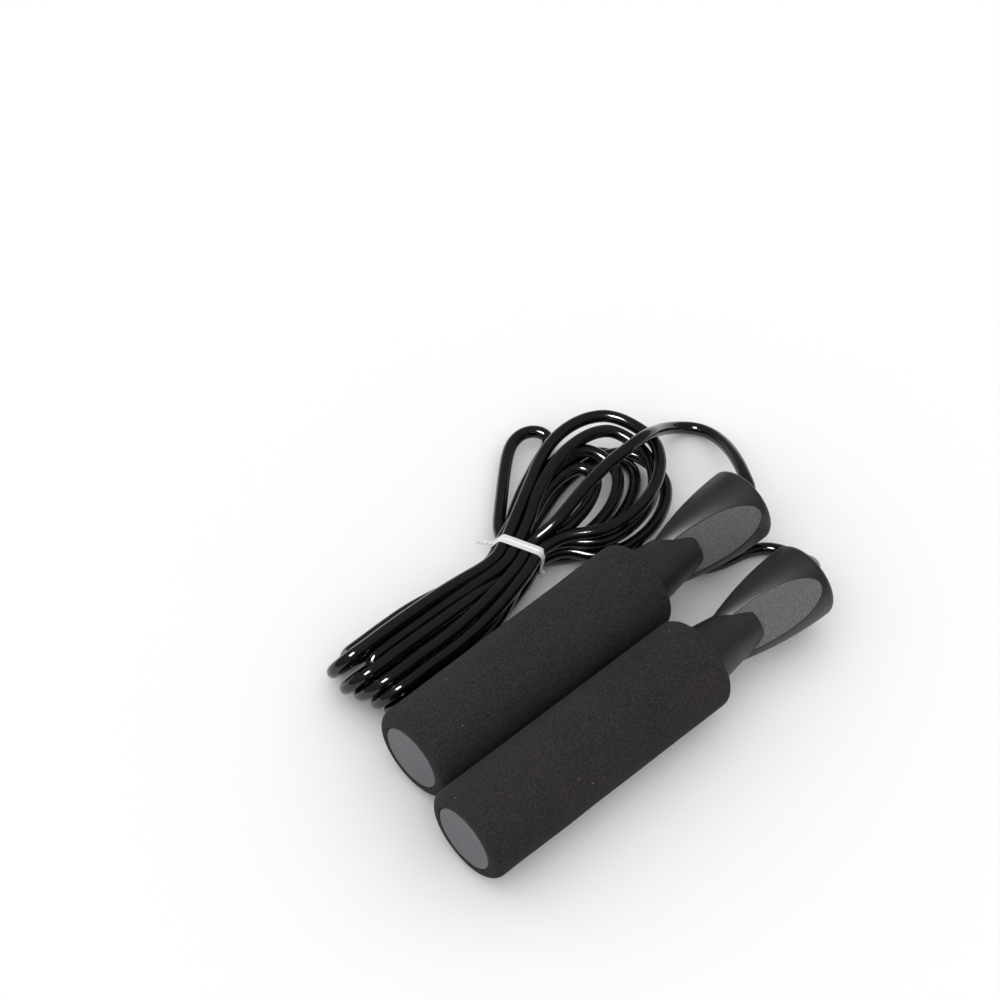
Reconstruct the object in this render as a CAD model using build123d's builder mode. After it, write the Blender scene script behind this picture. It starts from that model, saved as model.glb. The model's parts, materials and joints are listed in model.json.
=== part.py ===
from build123d import *
import os
from math import cos, pi, radians, sin, tan

# A speed jump rope, coiled up and tied, lying on a flat surface: two foam-covered handles,
# each with a ball bearing in its head, and the round cord that runs between them.
# Millimetres. +Z is up and the surface is Z = 0. The handles lie side by side along +X.
# The origin is on the surface, at the middle of the two handles' box.

os.makedirs("parts", exist_ok=True)

# ---- Driving dimensions ---------------------------------------------------------------

# Handle: distances along its axis are measured from the face of its end plug.
HANDLE_LENGTH = 156.0
GRIP_LENGTH = 105.0
GRIP_RADIUS = 17.0
GRIP_CORNER = 3.7
TUBE_RADIUS = 12.0
TUBE_BORE = 9.0
TUBE_END = 99.0
NECK_RADIUS = 11.1
WAIST_RADIUS = 9.05
WAIST_AT = 118.0
NECK_END_AT = 128.0
NECK_END_RADIUS = 7.9
NECK_END_ROUNDING = 0.9
NECK_BORE = 4.0

# Plug in the grip's end.
PLUG_RADIUS = 11.8
PLUG_THICKNESS = 3.0
SPIGOT_LENGTH = 12.0
SPIGOT_WALL = 1.5
SPIGOT_FIT = 0.05

# Head: a trumpet with two flat scoops. Set-backs are measured from its rim.
RIM_RADIUS = 13.93
RIM_ROUNDING = 2.2
FLARE_RATE = 1.0 / 312.0
FLARE_LENGTH = 40.0
FLARE_FLATTENING = 0.5
FLARE_SECTIONS = 6
SCOOP_TOP = 15.1
SCOOP_SLOPE = 0.30
SCOOP_EDGE = 0.9

# Bearing: a standard 8 x 16 x 5 shielded ball bearing.
BEARING_BORE = 4.0
BEARING_RADIUS = 8.0
BEARING_WIDTH = 5.0
INNER_RACE_RADIUS = 5.1
OUTER_RACE_INSIDE = 6.9
BALL_PITCH = 6.0
BALL_RADIUS = 1.2
BALL_COUNT = 8
BALL_CLEARANCE = 0.03
CAGE_WIDTH = 3.4
CAGE_THICKNESS = 1.2
SHIELD_THICKNESS = 0.25
SHIELD_SEAT = 7.3
SHIELD_INSIDE = 5.4
SHIELD_INSET = 0.2

# Seat of the bearing in the head, and the ring that keeps it there.
SEAT_AT = 146.2
MOUTH_RADIUS = 8.9
MOUTH_CHAMFER = 0.9
SNAP_THICKNESS = 1.0
SNAP_INSIDE = 6.9
SNAP_RADIUS = 8.45
SNAP_GROOVE = 8.5
SNAP_OPENING = 5.0

# Cord and what holds its end.
CORD_RADIUS = 2.3
SLEEVE_BORE = 2.4
SLEEVE_FLANGE = 4.9
FLANGE_THICKNESS = 0.8
WASHER_THICKNESS = 0.8
FERRULE_LENGTH = 8.0
FERRULE_RADIUS = 3.9
CRIMP_RADIUS = 3.5
CRIMP_WIDTH = 1.4
FERRULE_CAVITY = 5.5
CAVITY_AT = 134.0
CORD_END_AT = 125.0

# How the two handles lie: the left one is a little further forward, and turned outwards.
LEFT_AHEAD = 7.2
HANDLE_SPACING = 34.35
SPLAY = 1.1
LEFT_ROLL = 51.0
RIGHT_ROLL = 44.0

# Hank and its tie. Inside the tie the cord lies in layers, each set over from the one below.
HANK_HEIGHT = 19.0
TIE_CENTRE = (92.0, 77.2)
TIE_TURN = 24.0
TIE_WIDTH = 3.4
TIE_THICKNESS = 0.6
TIE_FIT = 0.05
TIE_TAIL_HEIGHT = 12.0
TIE_TAIL_LENGTH = 8.0
TIE_TAIL_RADIUS = 0.8
LAYERS = 4
LAYER_RISE = 3.7
LAYER_STAGGER = 0.9
LAYER_LEAN = 0.4
LAYER_HALF_WIDTH = 6.1

# Centre of the two handles' box, seen from the point under the right plug's face.
splay = radians(SPLAY)
box_length = LEFT_AHEAD + HANDLE_LENGTH * cos(splay) + (RIM_RADIUS - RIM_ROUNDING) * sin(splay)
box_left = HANDLE_SPACING + GRIP_RADIUS * cos(splay) + (GRIP_LENGTH - GRIP_CORNER) * sin(splay)
BOX_CENTRE = Vector(box_length / 2, (box_left - GRIP_RADIUS) / 2, 0)

# Places along the axis that follow from the above.
bearing_end = SEAT_AT + BEARING_WIDTH
bearing_middle = SEAT_AT + BEARING_WIDTH / 2
cord_exit = bearing_end + FLANGE_THICKNESS


def half_ring(start, end, inside, outside):
    """Draw half the section of a ring, from start to end along the axis."""
    with Locations((start, inside)):
        Rectangle(end - start, outside - inside, align=(Align.MIN, Align.MIN))


# ---- Handle: every piece is built about the X axis, with the plug's face at X = 0 --------

with BuildPart() as foam_grip:
    with BuildSketch(Plane.XZ):
        with BuildLine():
            Polyline(
                (0, TUBE_RADIUS),
                (0, GRIP_RADIUS),
                (GRIP_LENGTH, GRIP_RADIUS),
                (GRIP_LENGTH, NECK_RADIUS),
                (TUBE_END, TUBE_RADIUS),
                close=True,
            )
        make_face()
    revolve(axis=Axis.X)
    fillet(foam_grip.edges().filter_by(GeomType.CIRCLE).group_by(SortBy.RADIUS)[-1], GRIP_CORNER)

# The head's outer trumpet, flattened towards the neck and cut by a flat scoop on two sides.
with BuildPart() as head_flare:
    for index in range(FLARE_SECTIONS):
        share = index / (FLARE_SECTIONS - 1)
        setback = share * FLARE_LENGTH
        half_width = RIM_RADIUS - FLARE_RATE * setback**2
        half_depth = half_width * (1 - FLARE_FLATTENING * share**3)
        section = Plane((HANDLE_LENGTH - setback, 0, 0), x_dir=(0, 1, 0), z_dir=(1, 0, 0))
        with BuildSketch(section):
            Ellipse(half_width, half_depth)
    loft()
    fillet(head_flare.edges().group_by(Axis.X)[-1], RIM_ROUNDING)
    scoop_length = 1.1 * FLARE_LENGTH
    with BuildSketch(Plane.XZ):
        with BuildLine():
            Polyline(
                (HANDLE_LENGTH, SCOOP_TOP),
                (HANDLE_LENGTH - scoop_length, SCOOP_TOP - SCOOP_SLOPE * scoop_length),
                (HANDLE_LENGTH - scoop_length, 2 * SCOOP_TOP),
                (HANDLE_LENGTH, 2 * SCOOP_TOP),
                close=True,
            )
        make_face()
        mirror(about=Plane.XZ)
    extrude(amount=RIM_RADIUS + 1, both=True, mode=Mode.SUBTRACT)
    scoop_faces = head_flare.faces().filter_by(GeomType.PLANE).filter_by(Axis.X, reverse=True)
    fillet(scoop_faces.edges(), SCOOP_EDGE)

with BuildPart() as handle_core:
    with BuildSketch(Plane.XZ):
        with BuildLine():
            Polyline(
                (PLUG_THICKNESS, 0),
                (PLUG_THICKNESS, TUBE_RADIUS),
                (TUBE_END, TUBE_RADIUS),
                (GRIP_LENGTH, NECK_RADIUS),
                (WAIST_AT, WAIST_RADIUS),
                (NECK_END_AT, NECK_END_RADIUS),
                (NECK_END_AT, 0),
                close=True,
            )
        make_face()
    revolve(axis=Axis.X)
    fillet(handle_core.edges().group_by(Axis.X)[-1], NECK_END_ROUNDING)
    add(head_flare.part)
    # Hollow tube, narrow neck, ferrule's cavity, bearing's seat, groove and mouth.
    with BuildSketch(Plane.XZ):
        with BuildLine():
            Polyline(
                (0, 0),
                (0, TUBE_BORE),
                (TUBE_END - 1, TUBE_BORE),
                (GRIP_LENGTH + 1, NECK_BORE),
                (CAVITY_AT, NECK_BORE),
                (CAVITY_AT + FERRULE_CAVITY - NECK_BORE, FERRULE_CAVITY),
                (SEAT_AT, FERRULE_CAVITY),
                (SEAT_AT, BEARING_RADIUS),
                (bearing_end, BEARING_RADIUS),
                (bearing_end, SNAP_GROOVE),
                (bearing_end + 1.1 * SNAP_THICKNESS, SNAP_GROOVE),
                (bearing_end + 1.1 * SNAP_THICKNESS, BEARING_RADIUS),
                (HANDLE_LENGTH - MOUTH_CHAMFER, BEARING_RADIUS),
                (HANDLE_LENGTH, MOUTH_RADIUS),
                (HANDLE_LENGTH + 1, MOUTH_RADIUS + 1),
                (HANDLE_LENGTH + 1, 0),
                close=True,
            )
        make_face()
    revolve(axis=Axis.X, mode=Mode.SUBTRACT)

with BuildPart() as end_plug:
    with BuildSketch(Plane.XZ):
        half_ring(0, PLUG_THICKNESS, 0, PLUG_RADIUS)
        spigot = TUBE_BORE - SPIGOT_FIT
        half_ring(PLUG_THICKNESS, PLUG_THICKNESS + SPIGOT_LENGTH, spigot - SPIGOT_WALL, spigot)
    revolve(axis=Axis.X)
    fillet(end_plug.edges().group_by(Axis.X)[0], 0.4)

# ---- Bearing ---------------------------------------------------------------------------

GROOVE_RADIUS = BALL_RADIUS + BALL_CLEARANCE

with BuildPart() as bearing_outer_race:
    with BuildSketch(Plane.XZ):
        half_ring(SEAT_AT, bearing_end, OUTER_RACE_INSIDE, BEARING_RADIUS)
        shield_shoulder = SHIELD_INSET + SHIELD_THICKNESS
        with Locations((bearing_middle, BALL_PITCH)):
            Circle(GROOVE_RADIUS, mode=Mode.SUBTRACT)
        for seat_start in (SEAT_AT, bearing_end - shield_shoulder):
            with Locations((seat_start, OUTER_RACE_INSIDE)):
                Rectangle(
                    shield_shoulder,
                    SHIELD_SEAT - OUTER_RACE_INSIDE,
                    align=(Align.MIN, Align.MIN),
                    mode=Mode.SUBTRACT,
                )
    revolve(axis=Axis.X)

with BuildPart() as bearing_inner_race:
    with BuildSketch(Plane.XZ):
        half_ring(SEAT_AT, bearing_end, BEARING_BORE, INNER_RACE_RADIUS)
        with Locations((bearing_middle, BALL_PITCH)):
            Circle(GROOVE_RADIUS, mode=Mode.SUBTRACT)
    revolve(axis=Axis.X)

# The balls and the cage share this ring of places about the axis.
ball_ring = Plane((bearing_middle, 0, 0), x_dir=(0, 1, 0), z_dir=(1, 0, 0))

with BuildPart() as bearing_balls:
    with Locations(ball_ring):
        with PolarLocations(BALL_PITCH, BALL_COUNT):
            Sphere(BALL_RADIUS)

with BuildPart() as bearing_cage:
    with BuildSketch(Plane.XZ):
        half_ring(
            bearing_middle - CAGE_WIDTH / 2,
            bearing_middle + CAGE_WIDTH / 2,
            BALL_PITCH - CAGE_THICKNESS / 2,
            BALL_PITCH + CAGE_THICKNESS / 2,
        )
    revolve(axis=Axis.X)
    with Locations(ball_ring):
        with PolarLocations(BALL_PITCH, BALL_COUNT):
            Cylinder(GROOVE_RADIUS, 3 * CAGE_THICKNESS, rotation=(0, 90, 0), mode=Mode.SUBTRACT)

with BuildPart() as bearing_shields:
    with BuildSketch(Plane.XZ):
        near = SEAT_AT + SHIELD_INSET
        far = bearing_end - SHIELD_INSET
        half_ring(near, near + SHIELD_THICKNESS, SHIELD_INSIDE, SHIELD_SEAT)
        half_ring(far - SHIELD_THICKNESS, far, SHIELD_INSIDE, SHIELD_SEAT)
    revolve(axis=Axis.X)

with BuildPart() as snap_ring:
    with BuildSketch(Plane.XZ):
        half_ring(bearing_end, bearing_end + SNAP_THICKNESS, SNAP_INSIDE, SNAP_RADIUS)
    revolve(axis=Axis.X)
    # The gap that lets the ring be squeezed to fit it.
    with BuildSketch(Plane.XY):
        with Locations((bearing_end, SNAP_INSIDE)):
            Rectangle(4 * SNAP_THICKNESS, SNAP_OPENING)
    extrude(amount=SNAP_OPENING / 2, both=True, mode=Mode.SUBTRACT)

# ---- Cord's end inside the handle ---------------------------------------------------------

with BuildPart() as cord_sleeve:
    with BuildSketch(Plane.XZ):
        half_ring(SEAT_AT, bearing_end, SLEEVE_BORE, BEARING_BORE)
        half_ring(bearing_end, cord_exit, SLEEVE_BORE, SLEEVE_FLANGE)
    revolve(axis=Axis.X)
    rim_edges = cord_sleeve.edges().group_by(Axis.X)[-1]
    fillet(rim_edges.sort_by(SortBy.RADIUS)[-1], FLANGE_THICKNESS / 2)

with BuildPart() as thrust_washer:
    with BuildSketch(Plane.XZ):
        half_ring(SEAT_AT - WASHER_THICKNESS, SEAT_AT, SLEEVE_BORE, SLEEVE_FLANGE)
    revolve(axis=Axis.X)

with BuildPart() as cord_ferrule:
    ferrule_end = SEAT_AT - WASHER_THICKNESS
    ferrule_start = ferrule_end - FERRULE_LENGTH
    with BuildSketch(Plane.XZ):
        half_ring(ferrule_start, ferrule_end, CORD_RADIUS, FERRULE_RADIUS)
        for share in (0.3, 0.7):
            with Locations((ferrule_start + share * FERRULE_LENGTH, FERRULE_RADIUS)):
                Rectangle(CRIMP_WIDTH, 2 * (FERRULE_RADIUS - CRIMP_RADIUS), mode=Mode.SUBTRACT)
    revolve(axis=Axis.X)

with BuildPart() as cord_end:
    with BuildSketch(Plane.XZ):
        half_ring(CORD_END_AT, cord_exit, 0, CORD_RADIUS)
    revolve(axis=Axis.X)

# ---- Both handles, placed side by side ----------------------------------------------------

handle_pieces = {
    "handle_core": handle_core,
    "foam_grip": foam_grip,
    "end_plug": end_plug,
    "bearing_outer_race": bearing_outer_race,
    "bearing_inner_race": bearing_inner_race,
    "bearing_balls": bearing_balls,
    "bearing_cage": bearing_cage,
    "bearing_shields": bearing_shields,
    "snap_ring": snap_ring,
    "cord_sleeve": cord_sleeve,
    "thrust_washer": thrust_washer,
    "cord_ferrule": cord_ferrule,
    "cord_end": cord_end,
}
resting = Vector(0, 0, GRIP_RADIUS) - BOX_CENTRE
handle_places = {
    "left": Location(resting + Vector(LEFT_AHEAD, HANDLE_SPACING, 0), (0, 0, SPLAY))
    * Location((0, 0, 0), (LEFT_ROLL, 0, 0)),
    "right": Location(resting) * Location((0, 0, 0), (RIGHT_ROLL, 0, 0)),
}
for side, place in handle_places.items():
    for piece_name, piece in handle_pieces.items():
        placed = piece.part.moved(place)
        placed.label = f"{side}_{piece_name}"
        export_step(placed, f"parts/{placed.label}.step")
    axis_end = place * Location((cord_exit, 0, 0))
    print(side, "plug face", place.position, "cord exit", axis_end.position)

# ---- Cord between the handles ---------------------------------------------------------------
# Cord between the handles, after the first straight run out of each handle. Points are
# measured from the point on the surface under the right plug's face.

FIRST_RUN = 5.5
LEFT_LEAD = [
    (169.0, 40.4, 17.0),
    (172.2, 46.2, 16.0),
    (176.0, 52.8, 13.9),
    (179.8, 60.0, 10.6),
    (182.8, 67.4, 7.0),
    (184.4, 74.8, 3.8),
    (182.9, 81.0, 2.45),
    (177.9, 85.1, 3.2),
    (170.9, 85.6, 7.7),
    (164.3, 83.2, 13.7),
    (158.9, 80.8, 19.2),
    (153.1, 79.4, 22.5),
    (145.8, 78.8, 23.2),
    (136.6, 79.0, 22.2),
    (126.4, 77.8, 20.9),
    (116.2, 75.9, 19.4),
    (106.6, 74.0, 17.4),
]
RIGHT_LEAD = [
    (162.2, 1.9, 15.2),
    (165.0, 5.5, 12.0),
    (166.1, 10.0, 8.4),
    (166.7, 15.3, 5.0),
    (166.2, 20.9, 2.9),
    (163.2, 25.5, 2.4),
    (158.2, 28.4, 2.35),
    (152.4, 29.8, 2.4),
    (146.2, 31.2, 2.35),
    (140.6, 33.6, 2.4),
    (137.0, 38.6, 2.35),
    (134.2, 44.6, 2.4),
    (131.2, 51.0, 2.35),
    (126.9, 56.9, 2.4),
    (121.2, 61.9, 2.35),
    (114.8, 65.6, 2.4),
]


def cord_tube(handle_place, points):
    """Make a tube along straight runs that tangent arcs join, as large as the runs allow."""
    start = (handle_place * Location((cord_exit, 0, 0))).position
    first_corner = (handle_place * Location((cord_exit + FIRST_RUN, 0, 0))).position
    corners = [start, first_corner] + [Vector(*point) - BOX_CENTRE for point in points]
    runs = [end - start for start, end in zip(corners, corners[1:])]
    radii = []
    for run, following in zip(runs, runs[1:]):
        half_turn = radians(run.get_angle(following)) / 2
        radii.append(0.45 * min(run.length, following.length) / tan(half_turn))
    with BuildPart() as tube:
        with BuildLine() as path:
            FilletPolyline(*corners, radius=radii)
        with BuildSketch(Plane(path.line @ 0, z_dir=path.line % 0)):
            Circle(CORD_RADIUS)
        sweep(path=path.line)
    length = sum(edge.length for edge in path.edges())
    print("arc radii", [round(radius, 1) for radius in radii])
    print("length", round(length, 2), "volume", round(tube.part.volume, 1))
    print("section times length", round(pi * CORD_RADIUS**2 * length, 1))
    return tube.part


left_cord_lead = cord_tube(handle_places["left"], LEFT_LEAD)
left_cord_lead.label = "left_cord_lead"
right_cord_lead = cord_tube(handle_places["right"], RIGHT_LEAD)
right_cord_lead.label = "right_cord_lead"

# Where the cord's outermost runs lie inside the tie, across it and up from the surface.
tie_inside = CORD_RADIUS + TIE_FIT
outer_runs = []
for layer in range(LAYERS):
    middle = LAYER_STAGGER * (-1) ** layer + LAYER_LEAN * ((LAYERS - 1) / 2 - layer)
    height = TIE_THICKNESS + tie_inside + layer * LAYER_RISE
    outer_runs += [(middle + LAYER_HALF_WIDTH, height), (middle - LAYER_HALF_WIDTH, height)]
tie_turn = radians(TIE_TURN)
tie_plane = Plane(
    Vector(*TIE_CENTRE) - BOX_CENTRE,
    x_dir=(-sin(tie_turn), cos(tie_turn), 0),
    z_dir=(cos(tie_turn), sin(tie_turn), 0),
)

# The hank's outer shape: the folded bights on one side of the tie, and on the other side
# the open loops and the one turn that strays to the left. The tie sits in a groove.
FOLDED_BIGHTS = [(15.6, 58.8), (56, 59.6), (15.0, 83.4), (58, 83), (88, 79.5), (88, 73)]
OPEN_LOOPS = [(92, 80.5), (94, 73), (124, 61.0), (141, 61.2), (155, 75), (155.5, 94), (142, 103.5)]
STRAY_TURN = [(93, 83), (120, 113), (134.5, 117), (140, 108), (110, 80)]
LOBE_CORNER = 6.5

with BuildPart() as cord_hank:
    for lobe in (FOLDED_BIGHTS, OPEN_LOOPS, STRAY_TURN):
        with BuildSketch(Plane(-BOX_CENTRE)):
            with Locations(*lobe):
                Circle(LOBE_CORNER)
            make_hull()
        extrude(amount=HANK_HEIGHT)
    with BuildSketch(tie_plane):
        Rectangle(4 * HANK_HEIGHT, 4 * HANK_HEIGHT)
        with BuildSketch(tie_plane, mode=Mode.SUBTRACT):
            with Locations(*outer_runs):
                Circle(tie_inside)
            make_hull()
    extrude(amount=TIE_WIDTH / 2, both=True, mode=Mode.SUBTRACT)
cord_hank.part.label = "cord_hank"

# The tie is a flat strip round the bundle, with its ends twisted together at the far side.
with BuildPart() as twist_tie:
    with BuildSketch(tie_plane):
        with Locations(*outer_runs):
            Circle(tie_inside + TIE_THICKNESS)
        make_hull()
    extrude(amount=TIE_WIDTH / 2, both=True)
    with BuildSketch(tie_plane):
        with Locations(*outer_runs):
            Circle(tie_inside)
        make_hull()
    extrude(amount=TIE_WIDTH / 2, both=True, mode=Mode.SUBTRACT)
    tail_side = LAYER_HALF_WIDTH + tie_inside
    tail_start = tie_plane.from_local_coords((tail_side, TIE_TAIL_HEIGHT, 0))
    tail_way = tie_plane.x_dir - 0.5 * tie_plane.z_dir
    with BuildSketch(Plane(tail_start, z_dir=tail_way)):
        Circle(TIE_TAIL_RADIUS)
    extrude(amount=TIE_TAIL_LENGTH)
twist_tie.part.label = "twist_tie"

for piece in (cord_hank.part, twist_tie.part, left_cord_lead, right_cord_lead):
    export_step(piece, f"parts/{piece.label}.step")
print("box centre", BOX_CENTRE)
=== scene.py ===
"""Looks of a coiled speed jump rope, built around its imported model.

Metres, in the model's own frame: +Z is up, the surface is Z = 0 and the handles lie along
+X. The grips, the cord and its tie are modelled here; the moulded cores, the plugs and the
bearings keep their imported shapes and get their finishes.
"""

import json
import logging
import math
from dataclasses import dataclass, field
from enum import Enum

import bpy
from mathutils import Matrix, Vector, noise


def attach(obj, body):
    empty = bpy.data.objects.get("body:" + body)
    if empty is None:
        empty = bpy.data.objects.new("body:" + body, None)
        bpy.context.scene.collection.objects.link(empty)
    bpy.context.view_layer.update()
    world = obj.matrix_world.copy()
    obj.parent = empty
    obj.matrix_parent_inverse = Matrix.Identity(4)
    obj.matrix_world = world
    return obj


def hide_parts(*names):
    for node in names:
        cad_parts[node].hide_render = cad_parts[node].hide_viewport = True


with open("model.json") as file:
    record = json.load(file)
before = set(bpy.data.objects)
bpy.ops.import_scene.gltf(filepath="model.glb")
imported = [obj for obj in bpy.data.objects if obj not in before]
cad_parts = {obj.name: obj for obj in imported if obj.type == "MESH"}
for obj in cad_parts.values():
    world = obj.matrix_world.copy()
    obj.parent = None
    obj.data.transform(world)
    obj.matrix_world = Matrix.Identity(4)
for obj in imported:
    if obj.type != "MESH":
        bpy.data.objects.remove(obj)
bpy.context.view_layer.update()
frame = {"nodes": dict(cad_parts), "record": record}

Colour = tuple[float, float, float]
Point = tuple[float, float, float]

MM = 0.001
log = logging.getLogger("jump_rope")


class Side(Enum):
    """The two handles, as they lie."""

    LEFT = "left"
    RIGHT = "right"


class Level(Enum):
    """Heights of the cord's middle in the four layers of the open loops."""

    FLOOR = 2.4 * MM
    LOWER = 7.05 * MM
    UPPER = 11.7 * MM
    TOP = 16.35 * MM


LEVELS: tuple[Level, ...] = (Level.FLOOR, Level.LOWER, Level.UPPER, Level.TOP)
OCTAGON = math.tan(math.pi / 8)


# ---- Where things lie -----------------------------------------------------------------------


@dataclass(frozen=True)
class HandleLine:
    """A handle's axis: where its plug's face is, and which way the head points."""

    plug_face: Vector
    axis: Vector

    @classmethod
    def of(cls, side: Side) -> "HandleLine":
        """Read a handle's axis from the mount on its plug.

        Args:
            side: The handle.

        Returns:
            The handle's line.
        """
        mounts = {mount["name"]: mount for mount in frame["record"]["mounts"]}
        plug = mounts[f"{side.value}_plug_face"]
        return cls(Vector(plug["pos_m"]), -Vector(plug["axis"]))

    def at(self, distance: float) -> Vector:
        """Return the point this far along the axis from the plug's face."""
        return self.plug_face + self.axis * distance

    def place(self) -> Matrix:
        """Return the placement of a handle modelled along +X from the origin."""
        turn = Vector((1, 0, 0)).rotation_difference(self.axis)
        return Matrix.Translation(self.plug_face) @ turn.to_matrix().to_4x4()


HANDLES: dict[Side, HandleLine] = {side: HandleLine.of(side) for side in Side}
BASE = Vector((HANDLES[Side.RIGHT].plug_face.x, HANDLES[Side.RIGHT].plug_face.y, 0.0))


def laid(point: Point) -> Vector:
    """Turn a point measured from under the right plug's face into the model's frame.

    Args:
        point: Distances along, across and up, in metres.

    Returns:
        The point in the model's frame.
    """
    return BASE + Vector(point)


# ---- Shader building blocks -----------------------------------------------------------------


class Board:
    """A node tree, with short ways to add nodes and join them."""

    def __init__(self, tree: bpy.types.NodeTree) -> None:
        """Keep the tree that nodes are added to."""
        self.tree = tree

    def add(self, kind: str, **settings: object) -> bpy.types.Node:
        """Add a node and set its properties.

        Args:
            kind: Blender's node type.
            settings: Properties of the node by name.

        Returns:
            The new node.
        """
        node = self.tree.nodes.new(kind)
        for name, value in settings.items():
            setattr(node, name, value)
        return node

    def join(self, source: bpy.types.NodeSocket, target: bpy.types.NodeSocket) -> None:
        """Link one socket to another."""
        self.tree.links.new(source, target)

    def sum(self, operation: str, first: object, second: object = 0.0) -> bpy.types.NodeSocket:
        """Add a Math node over two sockets or numbers.

        Args:
            operation: The Math node's operation.
            first: A socket or a number.
            second: A socket or a number.

        Returns:
            The result's socket.
        """
        node = self.add("ShaderNodeMath", operation=operation)
        for target, value in zip(node.inputs, (first, second)):
            if isinstance(value, bpy.types.NodeSocket):
                self.join(value, target)
            else:
                target.default_value = value
        return node.outputs[0]

    def ramp(self, source: bpy.types.NodeSocket, low: float, high: float) -> bpy.types.NodeSocket:
        """Map a socket's values onto 0 to 1, smoothly and clamped.

        Args:
            source: The socket.
            low: The value that becomes 0.
            high: The value that becomes 1.

        Returns:
            The result's socket.
        """
        node = self.add("ShaderNodeMapRange", interpolation_type="SMOOTHSTEP")
        self.join(source, node.inputs["Value"])
        node.inputs["From Min"].default_value = low
        node.inputs["From Max"].default_value = high
        return node.outputs["Result"]

    def mix(self, share: object, first: object, second: object) -> bpy.types.NodeSocket:
        """Mix two colours.

        Args:
            share: The second colour's share, a socket or a number.
            first: A socket or a colour.
            second: A socket or a colour.

        Returns:
            The mixed colour's socket.
        """
        node = self.add("ShaderNodeMix", data_type="RGBA")
        for name, value in (("Factor_Float", share), ("A_Color", first), ("B_Color", second)):
            target = next(s for s in node.inputs if s.identifier == name)
            if isinstance(value, bpy.types.NodeSocket):
                self.join(value, target)
            elif isinstance(value, tuple):
                target.default_value = (*value, 1.0)
            else:
                target.default_value = value
        return next(s for s in node.outputs if s.identifier == "Result_Color")


class EffectGroup:
    """A shader node group that several finishes share, built once."""

    name: str = ""
    inputs: tuple[tuple[str, str, float], ...] = ()
    outputs: tuple[str, ...] = ()

    def tree(self) -> bpy.types.NodeTree:
        """Return the group's tree, building it the first time.

        Returns:
            The node group.
        """
        if self.name in bpy.data.node_groups:
            return bpy.data.node_groups[self.name]
        group = bpy.data.node_groups.new(self.name, "ShaderNodeTree")
        for label, kind, value in self.inputs:
            socket = group.interface.new_socket(label, in_out="INPUT", socket_type=kind)
            if kind == "NodeSocketFloat":
                socket.default_value = value
        for label in self.outputs:
            group.interface.new_socket(label, in_out="OUTPUT", socket_type="NodeSocketFloat")
        board = Board(group)
        start = board.add("NodeGroupInput")
        end = board.add("NodeGroupOutput")
        self.wire(board, start, end)
        return group

    def wire(self, board: Board, start: bpy.types.Node, end: bpy.types.Node) -> None:
        """Add the group's own nodes between its input and output nodes."""
        raise NotImplementedError

    def on(self, board: Board, place: bpy.types.NodeSocket, **values: float) -> bpy.types.Node:
        """Put this group in a material.

        Args:
            board: The material's board.
            place: The coordinates that the effect is laid out in.
            values: The group's other inputs by name, with _ for a space.

        Returns:
            The group node.
        """
        node = board.add("ShaderNodeGroup", node_tree=self.tree())
        board.join(place, node.inputs["Place"])
        for name, value in values.items():
            node.inputs[name.replace("_", " ")].default_value = value
        return node


class FineGrain(EffectGroup):
    """Even fine grain: a height and a mask, with grains of a given size."""

    name = "fine_grain"
    inputs = (
        ("Place", "NodeSocketVector", 0.0),
        ("Grain Size", "NodeSocketFloat", 0.0005),
        ("Coarseness", "NodeSocketFloat", 0.6),
    )
    outputs = ("Height", "Mask")

    def wire(self, board: Board, start: bpy.types.Node, end: bpy.types.Node) -> None:
        """Add a noise at the grain's size and a coarser one under it.

        Args:
            board: The group's board.
            start: Its input node.
            end: Its output node.
        """
        rate = board.sum("DIVIDE", 1.0, start.outputs["Grain Size"])
        fine = board.add("ShaderNodeTexNoise", noise_dimensions="3D")
        fine.inputs["Detail"].default_value = 3.0
        board.join(start.outputs["Place"], fine.inputs["Vector"])
        board.join(rate, fine.inputs["Scale"])
        board.join(start.outputs["Coarseness"], fine.inputs["Roughness"])
        wide = board.add("ShaderNodeTexNoise", noise_dimensions="3D")
        wide.inputs["Detail"].default_value = 1.0
        board.join(start.outputs["Place"], wide.inputs["Vector"])
        board.join(board.sum("MULTIPLY", rate, 0.22), wide.inputs["Scale"])
        both = board.sum("ADD", fine.outputs[0], board.sum("MULTIPLY", wide.outputs[0], 0.5))
        board.join(board.sum("MULTIPLY", both, 0.667), end.inputs["Height"])
        board.join(board.ramp(fine.outputs[0], 0.38, 0.66), end.inputs["Mask"])


class StraySpecks(EffectGroup):
    """Sparse tiny specks: a mask that is 1 on each speck."""

    name = "stray_specks"
    inputs = (
        ("Place", "NodeSocketVector", 0.0),
        ("Spacing", "NodeSocketFloat", 0.004),
        ("Speck Size", "NodeSocketFloat", 0.05),
        ("Share", "NodeSocketFloat", 0.3),
    )
    outputs = ("Mask",)

    def wire(self, board: Board, start: bpy.types.Node, end: bpy.types.Node) -> None:
        """Keep the middle of some cells of a Voronoi pattern.

        Args:
            board: The group's board.
            start: Its input node.
            end: Its output node.
        """
        cells = board.add("ShaderNodeTexVoronoi", voronoi_dimensions="3D", feature="F1")
        rate = board.sum("DIVIDE", 1.0, start.outputs["Spacing"])
        board.join(start.outputs["Place"], cells.inputs["Vector"])
        board.join(rate, cells.inputs["Scale"])
        near = board.sum("LESS_THAN", cells.outputs["Distance"], start.outputs["Speck Size"])
        pick = board.add("ShaderNodeSeparateColor")
        board.join(cells.outputs["Color"], pick.inputs["Color"])
        kept = board.sum("LESS_THAN", pick.outputs["Red"], start.outputs["Share"])
        board.join(board.sum("MULTIPLY", near, kept), end.inputs["Mask"])


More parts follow.
